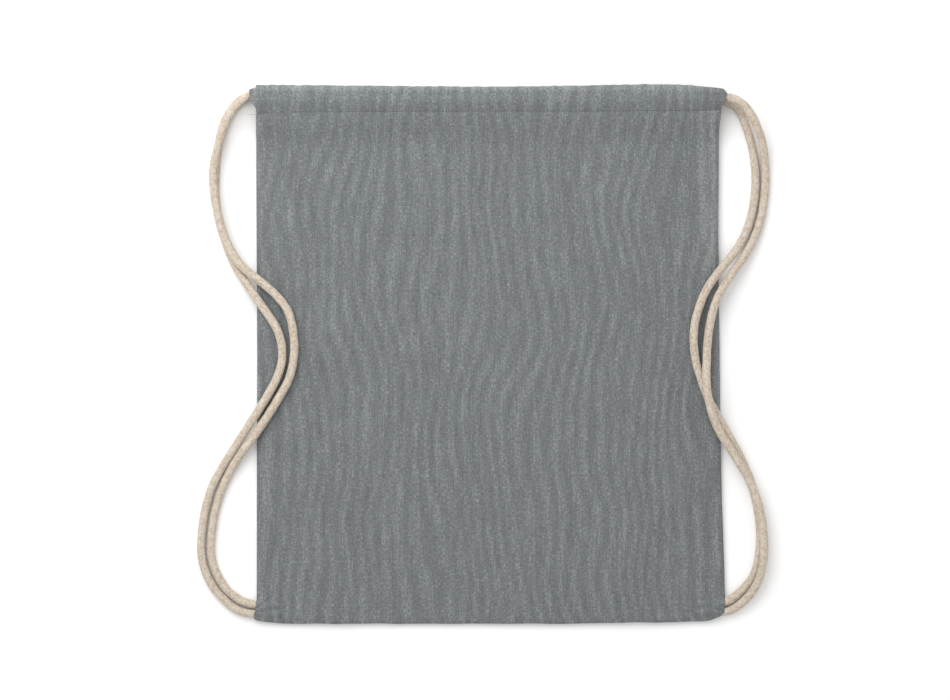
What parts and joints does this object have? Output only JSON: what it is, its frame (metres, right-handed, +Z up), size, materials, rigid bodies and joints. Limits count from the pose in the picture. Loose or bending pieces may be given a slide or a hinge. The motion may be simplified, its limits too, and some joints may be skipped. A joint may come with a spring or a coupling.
{
  "type": "drawstring backpack",
  "caption": "Flat grey cotton drawstring bag with two natural braided cords that close the mouth and serve as shoulder straps.",
  "frame": {"origin": "middle of the bag's footprint on the surface it lies on", "axes": "+X to the right as the front panel is seen, +Y from the bottom fold to the mouth, +Z up out of the front panel"},
  "size_m": [0.4432, 0.416, 0.0207],
  "materials": {
    "cloth": "matt",
    "cord": "matt",
    "thread": "matt"
  },
  "bodies": {
    "bag_back": {"back_panel": "cloth", "bottom_fold": "cloth", "left_side_seam": "cloth", "right_side_seam": "cloth", "left_seam_overlock": "thread", "right_seam_overlock": "thread", "back_casing": "cloth", "back_hem_turn_in": "cloth", "back_hem_stitching": "thread", "left_front_strap": "cord", "left_back_strap": "cord", "right_front_strap": "cord", "right_back_strap": "cord", "left_corner_cord_ends": "cord", "right_corner_cord_ends": "cord", "left_corner_bartack": "thread", "right_corner_bartack": "thread"},
    "bag_front": {"front_panel": "cloth", "front_casing": "cloth", "front_hem_turn_in": "cloth", "front_hem_stitching": "thread", "thread_tail": "thread"},
    "left_cord": {"left_cord_back_run": "cord", "left_cord_bight": "cord"},
    "left_cord_in_front": {"left_cord_front_run": "cord"},
    "right_cord": {"right_cord_back_run": "cord", "right_cord_bight": "cord"},
    "right_cord_in_front": {"right_cord_front_run": "cord"}
  },
  "joints": [
    {"name": "mouth_open", "type": "hinge", "parent": "bag_back", "child": "bag_front", "pos_m": [0, -0.2047, 0.0033], "axis": [1, 0, 0], "range_deg": [0, 12]},
    {"name": "left_drawcord", "type": "slide", "parent": "bag_back", "child": "left_cord", "axis": [-1, 0, 0], "range_m": [0, 0.02], "deforming": ["left_front_strap", "left_back_strap"]},
    {"name": "left_drawcord_front", "type": "slide", "parent": "bag_front", "child": "left_cord_in_front", "axis": [-1, 0, 0], "range_m": [0, 0.02]},
    {"name": "right_drawcord", "type": "slide", "parent": "bag_back", "child": "right_cord", "axis": [1, 0, 0], "range_m": [0, 0.02], "deforming": ["right_front_strap", "right_back_strap"]},
    {"name": "right_drawcord_front", "type": "slide", "parent": "bag_front", "child": "right_cord_in_front", "axis": [1, 0, 0], "range_m": [0, 0.02]}
  ],
  "couplings": [
    {"joint": "left_drawcord_front", "follows": "left_drawcord", "ratio": 1},
    {"joint": "right_drawcord_front", "follows": "right_drawcord", "ratio": 1}
  ]
}
